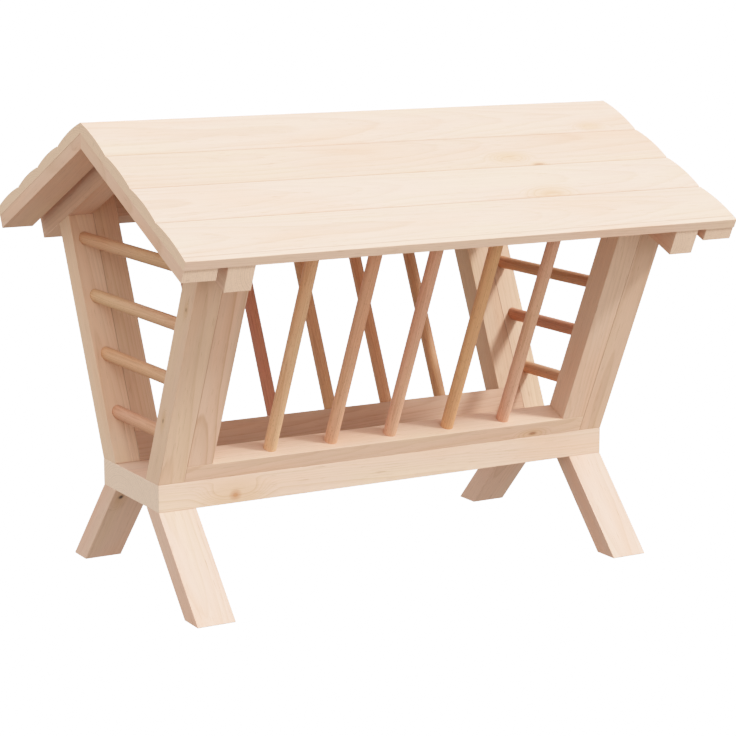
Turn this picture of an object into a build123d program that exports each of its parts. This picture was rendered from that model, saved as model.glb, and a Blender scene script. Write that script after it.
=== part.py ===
"""Wooden hay feeder: a roofed V-shaped hay rack on four splayed legs.

Millimetres, +Z up, +X along the ridge, front at -Y. The origin lies on the floor, under the
middle of the ridge. The front and rear halves are mirror images about the XZ plane, and the
left and right ends are mirror images about the YZ plane.
"""
from build123d import *
from math import cos, radians, sin, tan
import os

# ---------------------------------------------------------------- driving dimensions
bar = 45.0                  # square planed bar: posts, rails and rafters
edge_ease = 1.0             # radius on the sanded edges of bars, legs, battens, base and eaves

base_length = 856.0         # base plank, along the ridge
base_width = 220.0          # base plank, front to rear
base_thickness = 45.0

leg_height = 152.0          # floor to the underside of the base plank
leg_width = 66.0            # leg plank, along the ridge
leg_thickness = 36.0        # leg plank, square to its faces
leg_splay = 42.5            # degrees from upright

roof_pitch = 24.4           # degrees; the posts lean outward by as much, square to the rafters
boards_per_slope = 4
board_cover = 100.0         # width that one roof board covers
eave_lip = 10.0             # extra width of the board at the eave
board_edge = 15.0           # roof board's thickness at its long edges
board_crown = 4.0           # rise of its top from the edges to the middle
board_round = 4.0           # radius on its top edges, where two boards meet

batten_width = 56.0         # gable batten, along the ridge
batten_gap = 16.0           # gable batten to the rafter
batten_thickness = 22.5     # gable batten, square to the boards
rafter_setback = 1.5        # eave edge of the boards to the ends of rafters and battens

bottom_rail_rise = 30.0     # outer face of the bottom rail, along the lean
grille_opening = 374.0      # clear length of a grille dowel between its two rails
top_rail_gap = 7.5          # top rail to the roof boards

dowel_diameter = 22.0       # beech dowel of the grilles and of the end rungs
dowel_socket = 20.0         # depth of a dowel's blind hole
dowel_clearance = 0.25      # between a dowel and its blind hole, all round
dowels_per_grille = 5

rungs_per_end = 4
first_rung = 86.0           # base plank to the lowest rung, along the lean
last_rung = 22.5            # highest rung to the rafter, along the lean

pin_diameter = 8.0          # glued hardwood pin
pin_depth = 18.0            # length of a pin in each of its two pieces
pair_offset = 12.0          # distance of each of two pins from the middle of their joint
roof_pin_depth = 10.0       # length of a roof pin in the board and in the bar under it
batten_pin_offset = 25.0    # distance of each batten pin from the middle of the roof board

screw_diameter = 5.0
screw_head = 9.0            # diameter of the countersunk head
screw_head_height = 2.6
screw_bite = 30.0           # length of a frame screw in the piece that it draws up
leg_screw_offset = 18.0     # distance of each leg screw from the middle of the leg
hardware_clearance = 0.15   # between a pin or a screw and its hole, all round

# ---------------------------------------------------------------- derived places
pitch = radians(roof_pitch)
splay = radians(leg_splay)

half_length = base_length / 2
half_width = base_width / 2
half_roof = half_length + batten_gap + batten_width
base_top = leg_height + base_thickness

middle = bar / 2                                    # centre line of a bar
outer_seam = -half_length + bar                     # left outer plank to inner plank, in X
inner_face = -half_length + 2 * bar                 # inboard face of the left inner plank, in X

top_rail_foot = bottom_rail_rise + grille_opening   # along the lean
post_rise = top_rail_foot + bar + top_rail_gap      # base plank to roof boards, along the lean
peak_height = base_top + (post_rise + half_width * sin(pitch)) / cos(pitch)
slope_length = boards_per_slope * board_cover + eave_lip
rafter_end = slope_length - rafter_setback
dowel_spacing = -2 * inner_face / (dowels_per_grille + 1)
rung_spacing = (post_rise - bar - last_rung - first_rung) / (rungs_per_end - 1)


# ---------------------------------------------------------------- places on the front half
def on_post(inset, rise):
    """(y, z) on the front grille: inset from its outer face, rise from the base plank."""
    y = -half_width + inset * cos(pitch) - rise * sin(pitch)
    z = base_top + inset * sin(pitch) + rise * cos(pitch)
    return y, z


def on_foot(inset):
    """(y, z) where the line at this inset stands on the base plank."""
    return -half_width + inset / cos(pitch), base_top


def on_roof(distance, depth):
    """(y, z) on the front slope: distance from the ridge, depth under the boards."""
    y = -distance * cos(pitch) + depth * sin(pitch)
    z = peak_height - distance * sin(pitch) - depth * cos(pitch)
    return y, z


def board_span(number):
    """Distances from the ridge of a roof board's two edges, counted from the ridge."""
    start = number * board_cover
    lip = eave_lip if number == boards_per_slope - 1 else 0.0
    return start, start + board_cover + lip


# ---------------------------------------------------------------- shaping
def prism(outline, x_from, x_to):
    """Solid with this (y, z) outline, from x_from to x_to."""
    corners = [(x_from, y, z) for y, z in outline]
    face = Face(Wire.make_polygon(corners, close=True))
    return Solid.extrude(face, Vector(x_to - x_from, 0, 0))


def block(x_from, x_to, y_from, y_to, z_from, z_to):
    """Rectangular solid between three pairs of limits."""
    outline = [(y_from, z_from), (y_to, z_from), (y_to, z_to), (y_from, z_to)]
    return prism(outline, x_from, x_to)


def eased(solid):
    """The solid with all its edges sanded round."""
    return solid.fillet(edge_ease, solid.edges())


def rod(start, end, radius):
    """Round rod between two (x, y, z) points."""
    axis = Vector(*end) - Vector(*start)
    return Solid.make_cylinder(radius, axis.length, Plane(origin=start, z_dir=axis))


def pin(centre, direction, depth=pin_depth, grow=0.0):
    """Hardwood pin centred on a joint, or with grow the hole for it."""
    reach = Vector(*direction) * (depth + grow)
    joint = Vector(*centre)
    return rod(tuple(joint - reach), tuple(joint + reach), pin_diameter / 2 + grow)


def screw(head, tip, grow=0.0):
    """Countersunk screw from its head's top to its tip, or with grow the hole for it."""
    axis = Vector(*tip) - Vector(*head)
    seat = Plane(origin=head, z_dir=axis)
    thin = screw_diameter / 2 + grow
    cone = Solid.make_cone(screw_head / 2 + grow, thin, screw_head_height, seat)
    shank = Solid.make_cylinder(thin, axis.length + grow, seat)
    return cone.fuse(shank)


def rear(solid):
    """The same piece on the rear half."""
    return solid.mirror(Plane.XZ)


def right(solid):
    """The same piece at the right end."""
    return solid.mirror(Plane.YZ)


def four(solids):
    """These front left pieces with their mirror images at the other three corners."""
    front = solids + [right(solid) for solid in solids]
    return front + [rear(solid) for solid in front]


# ---------------------------------------------------------------- pins at the front left
along_x = (1, 0, 0)
along_z = (0, 0, 1)
bar_x = -half_length + middle
pins = []

# The two planks of a post are pinned together between the rungs.
for gap in range(rungs_per_end - 1):
    seam_rise = first_rung + (gap + 0.5) * rung_spacing
    pins.append(((outer_seam, *on_post(middle, seam_rise)), along_x))

# Two pins hold each end of a top rail and of a bottom rail.
for shift in (-pair_offset, pair_offset):
    pins.append(((inner_face, *on_post(middle, top_rail_foot + middle + shift)), along_x))
    pins.append(((outer_seam, *on_post(middle + shift, bottom_rail_rise / 2)), along_x))

# One pin holds the rafter to the inner plank beside it, and one the outer plank to the base.
pins.append(((outer_seam, *on_post(middle + pair_offset / 2, post_rise - middle)), along_x))
pins.append(((bar_x, *on_foot(middle)), along_z))

# Each roof board sits on two pins in the gable batten and on one in the rafter.
roof_normal = (0, -sin(pitch), cos(pitch))
batten_x = -half_roof + batten_width / 2
rafter_x = -half_length + bar / 3
for number in range(boards_per_slope):
    board_middle = sum(board_span(number)) / 2
    for distance in (board_middle - batten_pin_offset, board_middle + batten_pin_offset):
        pins.append(((batten_x, *on_roof(distance, 0)), roof_normal, roof_pin_depth))
    pins.append(((rafter_x, *on_roof(board_middle, 0)), roof_normal, roof_pin_depth))

# ---------------------------------------------------------------- screws at the front left
frame_screws = []

# Down through the rafter into the head of the outer plank, under the roof boards.
screw_inset = middle - pair_offset / 2
rafter_screw_head = (bar_x, *on_post(screw_inset, post_rise))
rafter_screw_tip = (bar_x, *on_post(screw_inset, post_rise - bar - screw_bite))
frame_screws.append((rafter_screw_head, rafter_screw_tip))

# Up through the base plank into the bottom rail, between the dowels.
for gap in (0, (dowels_per_grille - 1) // 2):
    rail_x = inner_face + (gap + 0.5) * dowel_spacing
    rail_y = -half_width + middle
    frame_screws.append(((rail_x, rail_y, leg_height), (rail_x, rail_y, base_top + screw_bite)))

# Down through the base plank into the head of the leg, under the post and the bottom rail.
for shift in (-leg_screw_offset, leg_screw_offset):
    leg_x = -half_length + leg_width / 2 + shift
    leg_y = -half_width + middle - pair_offset
    frame_screws.append(((leg_x, leg_y, base_top), (leg_x, leg_y, leg_height - screw_bite)))

holes = four(
    [pin(*place, grow=hardware_clearance) for place in pins]
    + [screw(*place, grow=hardware_clearance) for place in frame_screws]
)


def drilled(solid, sockets=()):
    """The piece with the holes of the pins and screws that reach it, and its dowel sockets."""
    around = solid.bounding_box()
    tools = [hole for hole in [*holes, *sockets] if around.overlaps(hole.bounding_box())]
    cut = solid.cut(*tools) if tools else solid
    return cut.solid()


# ---------------------------------------------------------------- dowels and rungs
def grille_dowel(number, grow=0.0):
    """Dowel of the front grille, counted from the left, or with grow its two blind holes."""
    x = (number + 1) * dowel_spacing + inner_face
    start = on_post(middle, bottom_rail_rise - dowel_socket - grow)
    end = on_post(middle, top_rail_foot + dowel_socket + grow)
    return rod((x, *start), (x, *end), dowel_diameter / 2 + grow)


def rung(number, grow=0.0):
    """Rung of the left end, counted from the lowest, or with grow its two blind holes."""
    climb = (first_rung + number * rung_spacing) * cos(pitch)
    plank_y = -half_width + bar / cos(pitch) - climb * tan(pitch)
    y = plank_y - dowel_socket - grow
    z = base_top + climb
    return rod((bar_x, y, z), (bar_x, -y, z), dowel_diameter / 2 + grow)


dowel_numbers = range(dowels_per_grille)
rung_numbers = range(rungs_per_end)
dowel_holes = [grille_dowel(number, dowel_clearance) for number in dowel_numbers]
rung_holes = [rung(number, dowel_clearance) for number in rung_numbers]

parts = {}


def at_front_and_rear(name, solid):
    """Name a full-length piece of the front half and its mirror image."""
    parts[f"{name}_front"] = solid
    parts[f"{name}_rear"] = rear(solid)


def at_corners(name, solid):
    """Name a front left piece and its three mirror images."""
    parts[f"{name}_front_left"] = solid
    parts[f"{name}_front_right"] = right(solid)
    parts[f"{name}_rear_left"] = rear(solid)
    parts[f"{name}_rear_right"] = rear(right(solid))


# ---------------------------------------------------------------- legs
def leg():
    """Splayed plank, cut level at the floor and under the base plank."""
    spread = leg_height * tan(splay)
    across = leg_thickness / cos(splay)
    outline = [
        (-half_width, leg_height),
        (-half_width + across, leg_height),
        (-half_width + across - spread, 0),
        (-half_width - spread, 0),
    ]
    return drilled(eased(prism(outline, -half_length, -half_length + leg_width)))


at_corners("leg", leg())


# ---------------------------------------------------------------- base
def base_plank():
    """Thick plank that closes the bottom of the rack."""
    plank = block(-half_length, half_length, -half_width, half_width, leg_height, base_top)
    return drilled(eased(plank))


parts["base_plank"] = base_plank()


# ---------------------------------------------------------------- posts and grilles
def outer_plank():
    """Outer half of a post, from the base plank to the underside of the rafter."""
    head = post_rise - bar
    outline = [on_foot(0), on_foot(bar), on_post(bar, head), on_post(0, head)]
    return drilled(eased(prism(outline, -half_length, outer_seam)), rung_holes)


def inner_plank():
    """Inner half of a post, from the bottom rail to the roof boards."""
    foot = bottom_rail_rise
    outline = [on_post(0, foot), on_post(bar, foot), on_post(bar, post_rise), on_post(0, post_rise)]
    return drilled(eased(prism(outline, outer_seam, inner_face)))


def bottom_rail():
    """Rail between the outer planks, cut level where it lies on the base plank."""
    rise = bottom_rail_rise
    outline = [on_foot(0), on_foot(bar), on_post(bar, rise), on_post(0, rise)]
    return drilled(eased(prism(outline, outer_seam, -outer_seam)), dowel_holes)


def top_rail():
    """Rail between the inner planks, under the roof boards."""
    foot, head = top_rail_foot, top_rail_foot + bar
    outline = [on_post(0, foot), on_post(bar, foot), on_post(bar, head), on_post(0, head)]
    return drilled(eased(prism(outline, inner_face, -inner_face)), dowel_holes)


at_corners("outer_plank", outer_plank())
at_corners("inner_plank", inner_plank())
at_front_and_rear("bottom_rail", bottom_rail())
at_front_and_rear("top_rail", top_rail())

for number in dowel_numbers:
    at_front_and_rear(f"grille_dowel_{number + 1}", grille_dowel(number))

for number in rung_numbers:
    parts[f"rung_{number + 1}_left"] = rung(number)
    parts[f"rung_{number + 1}_right"] = right(rung(number))


# ---------------------------------------------------------------- roof
def sloping_bar(thickness, x_from, x_to):
    """Bar under the boards, mitred plumb at the ridge and square at the eave."""
    outline = [
        (0, peak_height),
        (0, peak_height - thickness / cos(pitch)),
        on_roof(rafter_end, thickness),
        on_roof(rafter_end, 0),
    ]
    return drilled(eased(prism(outline, x_from, x_to)))


def roof_board(number):
    """Crowned board of the front slope; the topmost is mitred plumb at the ridge.

    Its top edges are rounded where they meet another board, and only sanded at the eave.
    """
    start, end = board_span(number)
    top_start = start - board_edge * tan(pitch) if number == 0 else start

    def corner(distance, height):
        return (-half_roof, *on_roof(distance, -height))

    crown_top = corner((start + end) / 2, board_edge + board_crown)
    ridge_side = corner(top_start, board_edge)
    eave_side = corner(end, board_edge)
    flat_sides = Polyline(ridge_side, corner(start, 0), corner(end, 0), eave_side)
    crown = ThreePointArc(eave_side, crown_top, ridge_side)
    board = Solid.extrude(Face(Wire([*flat_sides.edges(), crown])), Vector(2 * half_roof, 0, 0))
    slope_normal = Axis((0, 0, 0), (0, -sin(pitch), cos(pitch)))
    top_edges = board.edges().filter_by(Axis.X).group_by(slope_normal)[-1].sort_by(Axis.Y)
    lower, upper = top_edges
    if number > 0:
        board = board.fillet(board_round, [upper])
    at_eave = number == boards_per_slope - 1
    lower = board.edges().sort_by_distance(lower.center())[0]
    return drilled(board.fillet(edge_ease if at_eave else board_round, [lower]))


at_corners("rafter", sloping_bar(bar, -half_length, outer_seam))
at_corners("gable_batten", sloping_bar(batten_thickness, -half_roof, -half_roof + batten_width))
for number in range(boards_per_slope):
    at_front_and_rear(f"roof_board_{number + 1}", roof_board(number))

# ---------------------------------------------------------------- hardware
parts["joint_pins"] = Compound(four([pin(*place) for place in pins]))
parts["frame_screws"] = Compound(four([screw(*place) for place in frame_screws]))

os.makedirs("parts", exist_ok=True)
for name, solid in parts.items():
    export_step(solid, f"parts/{name}.step")
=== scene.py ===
"""Looks of the wooden hay feeder: planed fir, beech dowels and zinc screws, all on white.

Metres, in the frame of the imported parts: +X along the ridge, front at -Y, floor at z = 0.
"""

import math
import random

import bpy
from mathutils import Matrix, Vector


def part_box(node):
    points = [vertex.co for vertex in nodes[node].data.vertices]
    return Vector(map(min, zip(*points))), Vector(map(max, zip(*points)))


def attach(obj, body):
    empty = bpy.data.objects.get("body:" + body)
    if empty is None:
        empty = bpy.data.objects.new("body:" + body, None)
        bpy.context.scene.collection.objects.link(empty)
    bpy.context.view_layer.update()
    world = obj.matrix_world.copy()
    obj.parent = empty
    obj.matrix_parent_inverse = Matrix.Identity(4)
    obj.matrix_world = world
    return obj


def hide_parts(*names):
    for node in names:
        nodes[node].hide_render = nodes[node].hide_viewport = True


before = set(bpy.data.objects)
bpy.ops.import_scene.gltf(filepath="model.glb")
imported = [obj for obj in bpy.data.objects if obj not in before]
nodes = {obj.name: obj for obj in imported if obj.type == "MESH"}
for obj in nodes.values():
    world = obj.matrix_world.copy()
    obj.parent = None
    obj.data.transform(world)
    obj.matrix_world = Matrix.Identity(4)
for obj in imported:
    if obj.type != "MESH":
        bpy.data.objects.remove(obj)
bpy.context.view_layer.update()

# ---------------------------------------------------------------- legs
# Four splayed planks of planed fir, 36 x 66 mm, sawn level at both ends and screwed up
# under the base plank. Fir is pale and pinkish, with soft brown latewood lines that run
# along the grain, and paler, greyer end grain where it is sawn across.


def colour(code):
    """Linear RGBA of an sRGB hex value."""
    channels = [int(code[i:i + 2], 16) / 255 for i in (1, 3, 5)]
    return [c / 12.92 if c <= 0.04045 else ((c + 0.055) / 1.055) ** 2.4 for c in channels] + [1.0]


def add(tree, kind, inputs=None, stops=(), **settings):
    """Node with its settings; each input takes a value, a socket, or another node's first output.

    The stops of a colour ramp are (place, grey value or hex colour).
    """
    node = tree.nodes.new("ShaderNode" + kind)
    for name, value in settings.items():
        setattr(node, name, value)
    for number, (place, value) in enumerate(stops):
        elements = node.color_ramp.elements
        stop = elements[number] if number < len(elements) else elements.new(place)
        stop.position = place
        stop.color = colour(value) if isinstance(value, str) else (value, value, value, 1.0)
    for socket, value in (inputs or {}).items():
        if isinstance(value, bpy.types.Node):
            value = value.outputs[0]
        if isinstance(value, bpy.types.NodeSocket):
            tree.links.new(value, node.inputs[socket])
        else:
            node.inputs[socket].default_value = value
    return node


def grain_frame(name, along, face, pith):
    """Matrix of a piece's timber: Z along the grain, Y out of its face, origin on the pith.

    pith is how far the heart of the tree lies across and below the middle of the piece.
    """
    low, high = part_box(name)
    z_axis = Vector(along).normalized()
    y_axis = Vector(face).normalized()
    x_axis = y_axis.cross(z_axis).normalized()
    origin = (low + high) / 2 + x_axis * pith[0] - y_axis * pith[1]
    turn = Matrix((x_axis, y_axis, z_axis)).transposed()
    return Matrix.Translation(origin) @ turn.to_4x4()


def planed_fir(name, along, face, tones, seed, pith=(0.015, 0.055), ring=0.0034,
               figure=1.0, knots=(), seam=None):
    """Planed fir for one piece.

    tones are the hex colours of earlywood, latewood and end grain. ring is the width of one
    year's growth, and figure how strongly the rings show. Each knot is (point, radius, length
    over width, depth axis "X" or "Y" of the grain frame, colour and strength of its heart).
    seam is the plane where the piece meets its neighbour, (point, normal, strength of the
    painted shade along it).
    """
    material = bpy.data.materials.new("planed_fir_" + name)
    material.use_nodes = True
    tree = material.node_tree
    tree.nodes.clear()
    timber = grain_frame(name, along, face, pith)
    place = add(tree, "TexCoord").outputs["Object"]
    grain = add(tree, "Mapping", {0: place, 1: timber.to_translation(), 2: timber.to_euler()},
                vector_type="TEXTURE")

    # The heart of the tree wanders by a few mm in half a metre, and each ring wavers.
    slow = add(tree, "VectorMath", {0: grain, 1: (2.0, 2.0, 1.7)}, operation="MULTIPLY")
    slow = add(tree, "VectorMath", {0: slow, 1: (seed * 1.7, seed * 0.9, seed * 2.3)})
    wander = add(tree, "TexNoise", {"Vector": slow, "Scale": 1.0, "Detail": 2.0})
    wander = add(tree, "VectorMath", {0: wander.outputs["Color"], 1: (0.5, 0.5, 0.5)},
                 operation="SUBTRACT")
    wander = add(tree, "VectorMath", {0: wander, "Scale": 0.024}, operation="SCALE")
    quick = add(tree, "VectorMath", {0: grain, 1: (60.0, 60.0, 7.0)}, operation="MULTIPLY")
    quick = add(tree, "VectorMath", {0: quick, 1: (seed * 3.1, 0.0, seed)})
    waver = add(tree, "TexNoise", {"Vector": quick, "Scale": 1.0, "Detail": 2.0})
    waver = add(tree, "VectorMath", {0: waver.outputs["Color"], 1: (0.5, 0.5, 0.5)},
                operation="SUBTRACT")
    waver = add(tree, "VectorMath", {0: waver, "Scale": 0.0016}, operation="SCALE")
    bent = add(tree, "VectorMath", {0: grain, 1: wander})
    bent = add(tree, "VectorMath", {0: bent, 1: waver})
    flat = add(tree, "VectorMath", {0: bent, 1: (1.0, 1.0, 0.0)}, operation="MULTIPLY")
    radius = add(tree, "VectorMath", {0: flat}, operation="LENGTH").outputs["Value"]
    height = add(tree, "SeparateXYZ", {0: bent}).outputs["Z"]

    # The trunk tapers by 18 mm in a metre, so flat-sawn faces show long open arches.
    radius = add(tree, "Math", {0: height, 1: 0.018, 2: radius}, operation="MULTIPLY_ADD")

    # A knot is the foot of a branch: dark and ringed, and the year rings swell round it.
    cores, halos = [], []
    for point, size, run, axis, _, _ in knots:
        centre = timber.inverted() @ Vector(point)
        deep = Vector((0.2, 1.0, 0.0) if axis == "X" else (1.0, 0.2, 0.0))
        away = add(tree, "VectorMath", {0: grain, 1: centre}, operation="SUBTRACT")
        away = add(tree, "VectorMath", {0: away, 1: waver})
        cloud = add(tree, "VectorMath", {0: away, 1: deep + Vector((0.0, 0.0, 0.4))},
                    operation="MULTIPLY")
        cloud = add(tree, "VectorMath", {0: cloud}, operation="LENGTH").outputs["Value"]
        halo = add(tree, "MapRange", {0: cloud, 1: size * 0.5, 2: size * 4.5, 3: 1.0, 4: 0.0},
                   interpolation_type="SMOOTHERSTEP")
        away = add(tree, "VectorMath", {0: away, 1: deep + Vector((0.0, 0.0, 1 / run))},
                   operation="MULTIPLY")
        away = add(tree, "VectorMath", {0: away}, operation="LENGTH").outputs["Value"]
        core = add(tree, "MapRange", {0: away, 1: size * 0.3, 2: size * 1.35, 3: 1.0, 4: 0.0},
                   interpolation_type="SMOOTHSTEP")
        year = add(tree, "Math", {0: away, 1: 1 / 0.0011}, operation="MULTIPLY")
        year = add(tree, "Math", {0: year}, operation="SINE")
        year = add(tree, "MapRange", {0: year, 1: -1.0, 2: 1.0, 3: 0.72, 4: 1.0})
        cores.append(add(tree, "Math", {0: core, 1: year}, operation="MULTIPLY"))
        halos.append(halo)
        radius = add(tree, "Math", {0: halo, 1: ring * 4.0, 2: radius}, operation="MULTIPLY_ADD")

    # Year rings: earlywood darkens slowly into latewood, then stops short at the winter.
    rings = add(tree, "Math", {0: radius, 1: 1 / ring}, operation="MULTIPLY")
    spread = add(tree, "Math", {0: rings, 1: 0.17}, operation="MULTIPLY")
    spread = add(tree, "TexNoise", {"W": spread, "Scale": 1.0, "Detail": 1.0},
                 noise_dimensions="1D")
    rings = add(tree, "Math", {0: spread.outputs[0], 1: 5.0, 2: rings}, operation="MULTIPLY_ADD")
    year = add(tree, "Math", {0: rings}, operation="FLOOR")
    phase = add(tree, "Math", {0: rings}, operation="FRACT")
    latewood = add(tree, "ValToRGB", {0: phase}, stops=[
        (0.0, 0.03), (0.35, 0.06), (0.72, 0.45), (0.9, 1.0), (1.0, 0.03)])
    latewood.color_ramp.interpolation = "EASE"
    strength = add(tree, "TexWhiteNoise", {"W": year}, noise_dimensions="1D")
    strength = add(tree, "MapRange", {0: strength.outputs[0], 3: 0.45, 4: 1.0})
    latewood = add(tree, "Math", {0: latewood, 1: strength}, operation="MULTIPLY")
    for halo in halos:
        latewood = add(tree, "Math", {0: latewood, 1: halo, 2: latewood},
                       operation="MULTIPLY_ADD")

    # Fibres: fine streaks 0.6 mm apart and broader ones 4 mm apart, many times as long. The
    # finest fibres are 0.03 mm, so these are drawn coarse enough to show.
    fine = add(tree, "VectorMath", {0: bent, 1: (1600.0, 1600.0, 22.0)}, operation="MULTIPLY")
    fine = add(tree, "TexNoise", {"Vector": fine, "Scale": 1.0, "Detail": 3.0})
    broad = add(tree, "VectorMath", {0: bent, 1: (240.0, 240.0, 5.0)}, operation="MULTIPLY")
    broad = add(tree, "TexNoise", {"Vector": broad, "Scale": 1.0, "Detail": 2.0})
    cloud = add(tree, "VectorMath", {0: grain, 1: (16.0, 16.0, 3.5)}, operation="MULTIPLY")
    cloud = add(tree, "VectorMath", {0: cloud, 1: (seed, seed * 2.0, 0.0)})
    cloud = add(tree, "TexNoise", {"Vector": cloud, "Scale": 1.0, "Detail": 2.0})

    early, late, sawn = tones
    drawn = add(tree, "Math", {0: latewood, 1: 0.55 * figure}, operation="MULTIPLY")
    wood = add(tree, "Mix", {0: drawn, 6: colour(early), 7: colour(late)}, data_type="RGBA")
    wood = wood.outputs[2]
    for texture, low, high in ((fine, 0.965, 1.03), (broad, 0.96, 1.035)):
        shade = add(tree, "MapRange", {0: texture, 1: 0.3, 2: 0.7, 3: low, 4: high})
        wood = add(tree, "VectorMath", {0: wood, "Scale": shade}, operation="SCALE")
    tint = add(tree, "ValToRGB", {0: cloud.outputs[0]}, stops=[
        (0.3, "#FFF3EA"), (0.5, "#FFFCF8"), (0.7, "#FFFFF6")])
    wood = add(tree, "VectorMath", {0: wood, 1: tint}, operation="MULTIPLY")

    # Resin canals: sparse brown dashes, a third of a millimetre wide and 15 mm long.
    canal = add(tree, "VectorMath", {0: bent, 1: (1100.0, 1100.0, 34.0)}, operation="MULTIPLY")
    canal = add(tree, "TexNoise", {"Vector": canal, "Scale": 1.0, "Detail": 0.0})
    canal = add(tree, "MapRange", {0: canal.outputs[0], 1: 0.74, 2: 0.8, 3: 0.0, 4: 0.4})
    wood = add(tree, "Mix", {0: canal, 6: wood, 7: colour("#8E6448")}, data_type="RGBA")

    for core, halo, (_, _, _, _, heart, strength) in zip(cores, halos, knots):
        warm = add(tree, "Math", {0: halo, 1: 0.3}, operation="MULTIPLY")
        wood = add(tree, "Mix", {0: warm, 6: wood.outputs[2], 7: colour("#C08A55")},
                   data_type="RGBA")
        dark = add(tree, "Math", {0: core, 1: strength}, operation="MULTIPLY")
        wood = add(tree, "Mix", {0: dark, 6: wood.outputs[2], 7: colour(heart)},
                   data_type="RGBA")

    # Painted shade, with a little dust, darkens the line where two pieces meet.
    if seam:
        seam_shade = add(tree, "VectorMath", {0: place, 1: seam[0]}, operation="SUBTRACT")
        seam_shade = add(tree, "VectorMath", {0: seam_shade, 1: seam[1]},
                  operation="DOT_PRODUCT").outputs["Value"]
        seam_shade = add(tree, "Math", {0: seam_shade}, operation="ABSOLUTE")
        seam_shade = add(tree, "MapRange", {0: seam_shade, 1: 0.0005, 2: 0.0012, 3: seam[2], 4: 0.0})
        wood = add(tree, "Mix", {0: seam_shade, 6: wood.outputs[2], 7: colour("#665248")},
                   data_type="RGBA")

    # End grain: sawn across, so paler and greyer, with the rings whole and fine checks that
    # open from the heart outwards.
    normal = add(tree, "NewGeometry").outputs["Normal"]
    across = add(tree, "VectorMath", {0: normal, 1: Vector(along).normalized()},
                 operation="DOT_PRODUCT").outputs["Value"]
    across = add(tree, "Math", {0: across}, operation="ABSOLUTE")
    ended = add(tree, "MapRange", {0: across, 1: 0.5, 2: 0.66}, interpolation_type="SMOOTHSTEP")
    split = add(tree, "SeparateXYZ", {0: flat})
    angle = add(tree, "Math", {0: split.outputs[1], 1: split.outputs[0]}, operation="ARCTAN2")
    around = add(tree, "Math", {0: angle, 1: 38.0}, operation="MULTIPLY")
    outward = add(tree, "Math", {0: radius, 1: 60.0}, operation="MULTIPLY")
    check = add(tree, "CombineXYZ", {0: around, 1: outward, 2: seed})
    check = add(tree, "TexNoise", {"Vector": check, "Scale": 1.0, "Detail": 2.0})
    check = add(tree, "MapRange", {0: check.outputs[0], 1: 0.62, 2: 0.74, 3: 0.0, 4: 0.35})
    end_ring = add(tree, "Math", {0: latewood, 1: 0.3}, operation="MULTIPLY")
    end_ring = add(tree, "Math", {0: end_ring, 1: check}, operation="MAXIMUM")
    end_wood = add(tree, "Mix", {0: end_ring, 6: colour(sawn), 7: colour("#8F6E56")},
                   data_type="RGBA")
    speck = add(tree, "TexNoise", {"Vector": place, "Scale": 420.0, "Detail": 3.0})
    speck = add(tree, "MapRange", {0: speck.outputs[0], 1: 0.3, 2: 0.7, 3: 0.93, 4: 1.05})
    end_wood = add(tree, "VectorMath", {0: end_wood.outputs[2], "Scale": speck.outputs[0]},
                   operation="SCALE")
    skin = add(tree, "Mix", {0: ended, 6: wood.outputs[2], 7: end_wood}, data_type="RGBA")

    # Latewood stands a hair proud after sanding, and is a little smoother.
    relief = add(tree, "Math", {0: latewood, 1: 0.5, 2: fine.outputs[0]},
                 operation="MULTIPLY_ADD")
    bump = add(tree, "Bump", {"Strength": 0.35, "Distance": 0.0003, "Height": relief})
    rough = add(tree, "MapRange", {0: relief, 1: 0.2, 2: 1.1, 3: 0.74, 4: 0.6})
    finish = add(tree, "BsdfPrincipled", {"Base Color": skin.outputs[2], "Roughness": rough,
                                          "Normal": bump, "IOR": 1.45,
                                          "Specular IOR Level": 0.35})
    add(tree, "OutputMaterial", {0: finish})
    nodes[name].data.materials.clear()
    nodes[name].data.materials.append(material)


splay = math.radians(42.5)
# A small, very dark spot at the head of the rear left leg, just under the base plank, drawn with
# the knot pattern.
dark_spot = ((-0.4126, 0.0762, 0.1355), 0.0050, 1.3, "Y", "#3A3028", 0.95)
for number, corner in enumerate(("front_left", "front_right", "rear_left", "rear_right")):
    forward = -1 if corner.startswith("front") else 1
    planed_fir("leg_" + corner,
               along=(0, forward * math.sin(splay), -math.cos(splay)),
               face=(0, forward * math.cos(splay), math.sin(splay)),
               tones=("#DFB7A5", "#C69C84", "#E3C0A8"), seed=11.0 + 3.1 * number,
               pith=(0.012 * (number - 1.5), 0.07),
               knots=[dark_spot] if corner == "rear_left" else ())

# ---------------------------------------------------------------- base plank
# One thick plank of planed fir, 45 x 220 x 856 mm, that carries the rack and closes its
# bottom. Screws run up through it into the bottom rails and down through it into the legs, so
# eight heads show beneath it.
planed_fir("base_plank", along=(1, 0, 0), face=(0, 0, 1),
           tones=("#DDB8A4", "#C29B82", "#F0CFB8"), seed=23.0, pith=(0.03, 0.085), ring=0.0038,
           knots=[((-0.2925, -0.11, 0.1650), 0.0085, 1.2, "X", "#A5653C", 0.75),
                  ((0.13, 0.03, 0.197), 0.009, 1.3, "Y", "#9A6440", 0.8),
                  ((-0.21, -0.03, 0.152), 0.011, 1.3, "Y", "#9A6440", 0.8)])

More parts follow.
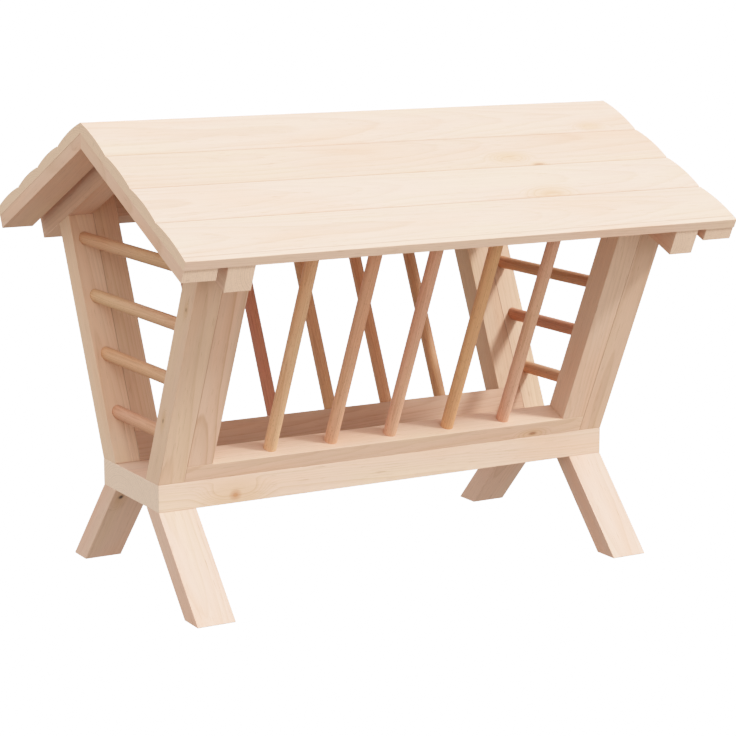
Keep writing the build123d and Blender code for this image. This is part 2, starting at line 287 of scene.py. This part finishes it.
# ---------------------------------------------------------------- posts
# Each corner post is two planed bars of 45 x 45 mm, pinned and glued side by side: the outer
# one stands on the base plank, the inner one on the bottom rail and runs up to the boards.
lean = math.radians(24.4)
post_seam = 0.383       # from the middle of the ridge to the joint of the two bars
post_tones = {
    "outer_plank_front_left": ("#DFB8A0", "#C59B80"),
    "inner_plank_front_left": ("#DFB6A0", "#BE9176"),
    "outer_plank_front_right": ("#DAB29B", "#BF957B"),
    "inner_plank_front_right": ("#DFB8A2", "#C49B82"),
    "outer_plank_rear_left": ("#E6C1A7", "#CBA488"),
    "inner_plank_rear_left": ("#D7B096", "#BB9175"),
    "outer_plank_rear_right": ("#D3AD93", "#B89076"),
    "inner_plank_rear_right": ("#CDA78D", "#B28A70"),
}
post_knots = {
    "outer_plank_front_left": [((-0.4280, -0.1327, 0.3062), 0.0030, 1.5, "X", "#7A6048", 0.8),
                               ((-0.4280, -0.2243, 0.4951), 0.0026, 1.5, "X", "#7A6048", 0.7)],
}
chance = random.Random(5)
for name, (early, late) in post_tones.items():
    forward = -1 if "front" in name else 1
    planed_fir(name, along=(0, forward * math.sin(lean), math.cos(lean)),
               face=(0, forward * math.cos(lean), -math.sin(lean)),
               tones=(early, late, "#E3C0A8"), seed=chance.uniform(0, 50),
               pith=(chance.uniform(-0.03, 0.03), chance.uniform(0.045, 0.075)),
               figure=1.6 if name == "inner_plank_front_left" else 1.0,
               knots=post_knots.get(name, ()),
               # The joint of the two bars gets a line of painted shade, fainter on the front
               # posts.
               seam=((post_seam if name.endswith("right") else -post_seam, 0, 0), (1, 0, 0),
                     0.12 if forward < 0 else 0.35))

# ---------------------------------------------------------------- rails
# Planed bars of 45 x 45 mm between the posts, bored for the dowels: the bottom rail lies on
# the base plank and is bevelled to it, the top rail hangs just under the roof boards.
for number, side in enumerate(("front", "rear")):
    forward = -1 if side == "front" else 1
    for shift, rail in enumerate(("bottom_rail_", "top_rail_")):
        knots = ()
        if rail + side == "bottom_rail_front":
            knots = [((0.2819, -0.1131, 0.2035), 0.0042, 2.2, "Y", "#8E5A3A", 0.8)]
        # The rear rails are set darker than the same fir in front: painted shade inside the rack,
        # under the roof.
        tones = ("#C19B85", "#A77F66", "#C9A993")
        if side == "front":
            tones = ("#DFB6A0", "#C59A7F", "#E3C0A8")
        planed_fir(rail + side, along=(1, 0, 0),
                   face=(0, forward * math.cos(lean), -math.sin(lean)), tones=tones,
                   seed=31.0 + 5.3 * number + 2.1 * shift,
                   pith=(0.02 - 0.03 * number, 0.06), knots=knots)

# ---------------------------------------------------------------- dowels and rungs
# Turned beech rods of 22 mm, glued into blind holes: five lean in each grille and four lie
# across each end. Beech is even and warm brown, with short dark ray flecks.


def turned_beech(name, along, early, late, seed):
    """Turned and sanded beech for one rod."""
    material = bpy.data.materials.new("turned_beech_" + name)
    material.use_nodes = True
    tree = material.node_tree
    tree.nodes.clear()
    timber = grain_frame(name, along, (1, 0, 0) if abs(along[0]) < 0.5 else (0, 0, 1),
                         (0.03, 0.02))
    place = add(tree, "TexCoord").outputs["Object"]
    grain = add(tree, "Mapping", {0: place, 1: timber.to_translation(), 2: timber.to_euler()},
                vector_type="TEXTURE")
    slow = add(tree, "VectorMath", {0: grain, 1: (14.0, 14.0, 3.2)}, operation="MULTIPLY")
    slow = add(tree, "VectorMath", {0: slow, 1: (seed, seed * 1.3, seed * 0.7)})
    slow = add(tree, "TexNoise", {"Vector": slow, "Scale": 1.0, "Detail": 2.0})
    bend = add(tree, "VectorMath", {0: slow.outputs["Color"], "Scale": 0.012}, operation="SCALE")
    bent = add(tree, "VectorMath", {0: grain, 1: bend})
    flat = add(tree, "VectorMath", {0: bent, 1: (1.0, 1.0, 0.0)}, operation="MULTIPLY")
    radius = add(tree, "VectorMath", {0: flat}, operation="LENGTH").outputs["Value"]

    # Faint year rings, 2.6 mm apart.
    phase = add(tree, "Math", {0: radius, 1: 1 / 0.0026}, operation="MULTIPLY")
    phase = add(tree, "Math", {0: phase}, operation="FRACT")
    rings = add(tree, "ValToRGB", {0: phase}, stops=[
        (0.0, 0.0), (0.55, 0.25), (0.88, 0.8), (1.0, 0.0)])
    rings.color_ramp.interpolation = "EASE"
    wood = add(tree, "Mix", {0: rings, 6: colour(early), 7: colour(late)}, data_type="RGBA")
    tone = add(tree, "ValToRGB", {0: slow.outputs[0]}, stops=[
        (0.3, "#FFEADD"), (0.5, "#FFF8F2"), (0.7, "#FFFFF0")])
    wood = add(tree, "VectorMath", {0: wood.outputs[2], 1: tone}, operation="MULTIPLY")
    fine = add(tree, "VectorMath", {0: bent, 1: (1500.0, 1500.0, 30.0)}, operation="MULTIPLY")
    fine = add(tree, "TexNoise", {"Vector": fine, "Scale": 1.0, "Detail": 3.0})
    shade = add(tree, "MapRange", {0: fine.outputs[0], 1: 0.3, 2: 0.7, 3: 0.93, 4: 1.05})
    wood = add(tree, "VectorMath", {0: wood, "Scale": shade.outputs[0]}, operation="SCALE")

    # Ray flecks: dark spindles 0.4 mm wide and 3 mm long.
    fleck = add(tree, "VectorMath", {0: bent, 1: (1250.0, 1250.0, 170.0)}, operation="MULTIPLY")
    fleck = add(tree, "TexNoise", {"Vector": fleck, "Scale": 1.0, "Detail": 1.0})
    fleck = add(tree, "MapRange", {0: fleck.outputs[0], 1: 0.62, 2: 0.72, 3: 0.0, 4: 0.45})
    wood = add(tree, "Mix", {0: fleck, 6: wood, 7: colour("#7A4C30")}, data_type="RGBA")
    bump = add(tree, "Bump", {"Strength": 0.25, "Distance": 0.0002, "Height": fine})
    rough = add(tree, "MapRange", {0: fine.outputs[0], 1: 0.2, 2: 0.8, 3: 0.62, 4: 0.5})
    finish = add(tree, "BsdfPrincipled", {"Base Color": wood.outputs[2], "Roughness": rough,
                                          "Normal": bump, "IOR": 1.45,
                                          "Specular IOR Level": 0.4})
    add(tree, "OutputMaterial", {0: finish})
    nodes[name].data.materials.clear()
    nodes[name].data.materials.append(material)


# Each rod's tone follows how lit it stands: lightest on the front grille, darkest and reddest at
# the rear and the far right end. This is painted light and shade on one beech.
rod_tones_lit_and_shaded = {
    "front": [("#E8B994", "#D4A27D"), ("#E2AA8C", "#CC9476"), ("#E6AC92", "#CF967C"),
              ("#E2A97F", "#CC936B"), ("#E4AD95", "#CE977F")],
    "rear": [("#CB9478", "#B47F62"), ("#BE7862", "#A66650"), ("#CC9672", "#B6805C"),
             ("#CC9470", "#B57E5B"), ("#C08C68", "#AA7755")],
    "left": [("#CF967A", "#BA8265"), ("#D2A27E", "#BE8D68"), ("#D6A684", "#C0906C"),
             ("#CB9A78", "#B68563")],
    "right": [("#C89474", "#B37F5F"), ("#BE8468", "#A87054"), ("#C08C6A", "#AA7656"),
              ("#C4906F", "#AE7A5A")],
}
chance = random.Random(12)
for side in ("front", "rear"):
    forward = -1 if side == "front" else 1
    for number, (early, late) in enumerate(rod_tones_lit_and_shaded[side], start=1):
        turned_beech(f"grille_dowel_{number}_{side}",
                     (0, forward * math.sin(lean), math.cos(lean)), early, late,
                     chance.uniform(0, 40))
for side in ("left", "right"):
    for number, (early, late) in enumerate(rod_tones_lit_and_shaded[side], start=1):
        turned_beech(f"rung_{number}_{side}", (0, 1, 0), early, late, chance.uniform(0, 40))

# ---------------------------------------------------------------- rafters and gable battens
# Planed fir under the boards, mitred plumb where each pair meets at the ridge: a 45 mm square
# rafter over each pair of posts, and a thinner batten of 56 x 22.5 mm at the very end.
chance = random.Random(21)
for side in ("front", "rear"):
    forward = -1 if side == "front" else 1
    slope = (0, forward * math.cos(lean), -math.sin(lean))
    for end in ("left", "right"):
        outward = -1 if end == "left" else 1
        planed_fir(f"rafter_{side}_{end}", along=slope, face=(outward, 0, 0),
                   tones=("#DFB6A0", "#C59A7F", "#E6BFA6"), seed=chance.uniform(0, 50),
                   pith=(chance.uniform(-0.02, 0.02), 0.05))
        planed_fir(f"gable_batten_{side}_{end}", along=slope, face=(outward, 0, 0),
                   tones=("#DFB6A0", "#C59A7F", "#E6BFA6"), seed=chance.uniform(0, 50),
                   pith=(chance.uniform(-0.02, 0.02), 0.07))

# ---------------------------------------------------------------- roof boards
# Four crowned fir boards on each slope, 100 mm wide and 15 to 19 mm thick, edge to edge with
# rounded edges. Flat-sawn, so the year rings run out in long arches along the board.
board_tones = [("#DBB6A3", "#C29A82"), ("#D9B39F", "#C0977E"), ("#DCB8A6", "#C49D85"),
               ("#DBB7A4", "#C29B83")]
board_knots = {
    "roof_board_1_front": [((0.4110, -0.0840, 0.7290), 0.0040, 2.5, "Y", "#C08A55", 0.05)],
    "roof_board_2_front": [((0.1900, -0.1660, 0.6935), 0.0060, 2.5, "Y", "#C08A55", 0.1),
                           ((0.2360, -0.1880, 0.6835), 0.0024, 5.0, "Y", "#8A6448", 0.65)],
    "roof_board_3_front": [((0.2030, -0.2700, 0.6450), 0.0065, 2.5, "Y", "#B07A48", 0.15)],
    "roof_board_1_rear": [((-0.2200, 0.0500, 0.7460), 0.0080, 1.3, "Y", "#9A6440", 0.8)],
    "roof_board_3_rear": [((0.3100, 0.2300, 0.6640), 0.0100, 1.3, "Y", "#9A6440", 0.8),
                          ((-0.3300, 0.2100, 0.6730), 0.0060, 1.3, "Y", "#8E5A3A", 0.9)],
    "roof_board_4_rear": [((0.0200, 0.3300, 0.6190), 0.0070, 1.3, "Y", "#9A6440", 0.8)],
}
ridge = 0.7482          # where the undersides of the two slopes meet
board_cover = 0.1       # from lap to lap, down the slope
chance = random.Random(34)
for side in ("front", "rear"):
    forward = -1 if side == "front" else 1
    for number, (early, late) in enumerate(board_tones, start=1):
        name = f"roof_board_{number}_{side}"
        planed_fir(name, along=(1, 0, 0), face=(0, forward * math.sin(lean), math.cos(lean)),
                   tones=(early, late, "#EAC4A7"), seed=chance.uniform(0, 60),
                   pith=(chance.uniform(-0.02, 0.02), chance.uniform(0.07, 0.11)), ring=0.0036,
                   figure=0.85, knots=board_knots.get(name, ()),
                   # Each lap gets a thin line of painted shade.
                   seam=((0, forward * board_cover * number * math.cos(lean),
                          ridge - board_cover * number * math.sin(lean)),
                         (0, forward * math.cos(lean), -math.sin(lean)), 0.35))

# ---------------------------------------------------------------- joint pins
# Grooved beech pins of 8 mm, glued into blind holes that every joint hides.
glued_beech = bpy.data.materials.new("grooved_beech_pin")
glued_beech.use_nodes = True
tree = glued_beech.node_tree
streak = add(tree, "TexNoise", {"Vector": add(tree, "TexCoord").outputs["Object"],
                                "Scale": 900.0, "Detail": 2.0})
streak = add(tree, "ValToRGB", {0: streak}, stops=[(0.3, "#A88260"), (0.7, "#C29C78")])
tree.links.new(streak.outputs[0], tree.nodes["Principled BSDF"].inputs["Base Color"])
tree.nodes["Principled BSDF"].inputs["Roughness"].default_value = 0.65
nodes["joint_pins"].data.materials.clear()
nodes["joint_pins"].data.materials.append(glued_beech)

# ---------------------------------------------------------------- frame screws
# Zinc-plated countersunk screws, 5 x 75 mm with a cross recess. They draw the base plank to
# the rails and the legs, and the rafters to the posts; the only heads in sight are the eight
# under the base plank.
head_radius, shank_radius, head_height, length, tip = 0.0045, 0.0025, 0.0026, 0.075, 0.006
bpy.ops.object.select_all(action="DESELECT")
bpy.ops.mesh.primitive_cone_add(vertices=32, radius1=shank_radius, radius2=head_radius,
                                depth=head_height, location=(0, 0, -head_height / 2))
screw = bpy.context.object
bpy.ops.object.transform_apply(location=True)
bpy.ops.object.mode_set(mode="EDIT")
bpy.ops.mesh.select_all(action="DESELECT")
bpy.ops.object.mode_set(mode="OBJECT")
for face in screw.data.polygons:
    face.select = face.normal.z < -0.9
bpy.ops.object.mode_set(mode="EDIT")
shank = length - head_height - tip
bpy.ops.mesh.extrude_region_move(TRANSFORM_OT_translate={"value": (0, 0, -shank)})
bpy.ops.mesh.extrude_region_move(TRANSFORM_OT_translate={"value": (0, 0, -tip)})
bpy.ops.transform.resize(value=(0.12, 0.12, 1.0))
bpy.ops.object.mode_set(mode="OBJECT")
for turn in (0.0, math.pi / 2):
    bpy.ops.object.select_all(action="DESELECT")
    bpy.ops.mesh.primitive_cone_add(vertices=4, radius1=0.0006, radius2=0.0014, depth=0.0022,
                                    location=(0, 0, -0.0009), rotation=(0, 0, math.pi / 4))
    blade = bpy.context.object
    bpy.ops.object.transform_apply(location=True, rotation=True)
    blade.scale = (2.3, 0.5, 1.0)
    blade.rotation_euler = (0.0, 0.0, turn)
    bpy.ops.object.transform_apply(rotation=True, scale=True)
    cross = screw.modifiers.new("cross_recess", "BOOLEAN")
    cross.object = blade
    cross.operation = "DIFFERENCE"
    cross.solver = "EXACT"
    bpy.context.view_layer.objects.active = screw
    bpy.ops.object.modifier_apply(modifier=cross.name)
    bpy.data.objects.remove(blade)

base_foot, base_top, base_edge = 0.152, 0.197, 0.11
inset, climb = 0.0165, 0.4565       # of the rafter screw, across and up along the post
rafter_y = base_edge - inset * math.cos(lean) + climb * math.sin(lean)
rafter_z = base_top + inset * math.sin(lean) + climb * math.cos(lean)
drives = []
for x, y, z, aim in (
        (0.4055, rafter_y, rafter_z, (0, -math.sin(lean), -math.cos(lean))),
        (0.28167, 0.0875, base_foot, (0, 0, 1)), (0.05633, 0.0875, base_foot, (0, 0, 1)),
        (0.413, 0.0995, base_top, (0, 0, -1)), (0.377, 0.0995, base_top, (0, 0, -1))):
    for side in (-1, 1):
        for forward in (-1, 1):
            drives.append((Vector((side * x, forward * y, z)),
                           Vector((0, forward * aim[1], aim[2]))))
copies = []
for place, aim in drives:
    copy = bpy.data.objects.new("frame_screw", screw.data.copy())
    bpy.context.scene.collection.objects.link(copy)
    turn = aim.to_track_quat("-Z", "Y").to_matrix().to_4x4()
    copy.matrix_world = Matrix.Translation(place) @ turn
    copies.append(copy)
bpy.data.objects.remove(screw)
bpy.context.view_layer.update()
bpy.ops.object.select_all(action="DESELECT")
for copy in copies:
    copy.select_set(True)
bpy.context.view_layer.objects.active = copies[0]
bpy.ops.object.join()
screws = bpy.context.object
screws.name = "countersunk_screws"
bpy.ops.object.transform_apply(location=True, rotation=True, scale=True)
bpy.ops.object.shade_smooth_by_angle(angle=math.radians(30))

# Bright zinc plating: a pale grey metal with faint clouds, and rougher where it has dulled.
zinc = bpy.data.materials.new("bright_zinc_plated_steel")
zinc.use_nodes = True
tree = zinc.node_tree
cloud = add(tree, "TexNoise", {"Vector": add(tree, "TexCoord").outputs["Object"],
                               "Scale": 700.0, "Detail": 3.0})
grey = add(tree, "ValToRGB", {0: cloud}, stops=[(0.3, "#A9ABAA"), (0.7, "#CFD0CC")])
dull = add(tree, "MapRange", {0: cloud, 3: 0.28, 4: 0.45})
tree.links.new(grey.outputs[0], tree.nodes["Principled BSDF"].inputs["Base Color"])
tree.links.new(dull.outputs[0], tree.nodes["Principled BSDF"].inputs["Roughness"])
tree.nodes["Principled BSDF"].inputs["Metallic"].default_value = 1.0
screws.data.materials.clear()
screws.data.materials.append(zinc)
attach(screws, "root")
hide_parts("frame_screws")

# ---------------------------------------------------------------- floor
# A white studio floor that only glows, so no shadow shows on it, and a white backdrop all
# round it. Both are just bright enough to show as white, because a brighter one would eat
# into the outlines before it. Neither sends light back to the wood, nor shades it.
bpy.ops.object.select_all(action="DESELECT")
bpy.ops.mesh.primitive_plane_add(size=130, location=(0, 0, 0))
floor = bpy.context.object
floor.name = "studio_floor"
bpy.ops.object.select_all(action="DESELECT")
bpy.ops.mesh.primitive_uv_sphere_add(segments=64, ring_count=32, radius=60)
backdrop = bpy.context.object
backdrop.name = "studio_backdrop"
backdrop.visible_shadow = False
studio = bpy.data.materials.new("matt_white_studio_floor")
studio.use_nodes = True
matt = studio.node_tree.nodes["Principled BSDF"]
matt.inputs["Base Color"].default_value = (0.0, 0.0, 0.0, 1.0)
matt.inputs["Roughness"].default_value = 0.9
matt.inputs["Specular IOR Level"].default_value = 0.0
matt.inputs["Emission Color"].default_value = (1.0, 1.0, 1.0, 1.0)
matt.inputs["Emission Strength"].default_value = 1.7
for surface in (floor, backdrop):
    surface.visible_diffuse = False
    surface.visible_glossy = False
    surface.data.materials.append(studio)

# ---------------------------------------------------------------- light
# A white surround, brightest overhead and dim below the horizon, one lamp high in front and
# to the right, and a broad weak one straight in front.
surround = bpy.data.worlds.new("white_surround")
bpy.context.scene.world = surround
surround.use_nodes = True
tree = surround.node_tree
height = add(tree, "SeparateXYZ", {0: add(tree, "TexCoord").outputs["Generated"]}).outputs["Z"]
glow = add(tree, "ValToRGB", {0: add(tree, "MapRange", {0: height, 1: -1.0, 2: 1.0})},
           stops=[(0.0, "#69655E"), (0.495, "#69655E"), (0.505, "#8E8C87"), (0.67, "#95938E"),
                  (0.853, "#C1C1C1"), (1.0, 0.57)])
tree.links.new(glow.outputs[0], tree.nodes["Background"].inputs["Color"])
tree.nodes["Background"].inputs["Strength"].default_value = 2.4

for name, energy, spread, source in (("soft_key", 2.72, 9, (0.58, -0.52, 0.627)),
                                     ("front_fill", 0.46, 30, (0.02, -1.0, 0.06))):
    lamp = bpy.data.lights.new(name, "SUN")
    lamp.energy = energy
    lamp.angle = math.radians(spread)
    lamp.color = (1.0, 0.985, 0.95)
    stand = bpy.data.objects.new(name, lamp)
    bpy.context.scene.collection.objects.link(stand)
    stand.rotation_euler = Vector(source).to_track_quat("Z", "Y").to_euler()

# ---------------------------------------------------------------- camera
# A long lens from the front left, a little above the ridge, with film that eases bright
# light off towards white.
lens = bpy.data.cameras.new("camera")
lens.lens = 106.27
lens.sensor_width = 36.0
lens.clip_end = 1000.0
camera = bpy.data.objects.new("camera", lens)
camera.location = (-1.7967, -3.1707, 1.0318)
camera.rotation_euler = (math.radians(79.057), 0.0, math.radians(-29.768))
bpy.context.scene.collection.objects.link(camera)
bpy.context.scene.camera = camera

# The least light that shows as pure white, how fast the film fills, and its fullest density.
white, speed, full = 1.6, 1.9, 0.9929
film = bpy.context.scene.view_settings
film.view_transform = "Standard"
film.use_curve_mapping = True
film.curve_mapping.white_level = (white, white, white)
film.curve_mapping.extend = "HORIZONTAL"
curve = film.curve_mapping.curves[3]
curve.points[1].location = (1.0, 1.0)
for light in (0.065, 0.156, 0.286, 0.442, 0.65, 0.91, 1.15, 1.35):
    curve.points.new(light / white, (1 - math.exp(-speed * light)) / full)
film.curve_mapping.update()
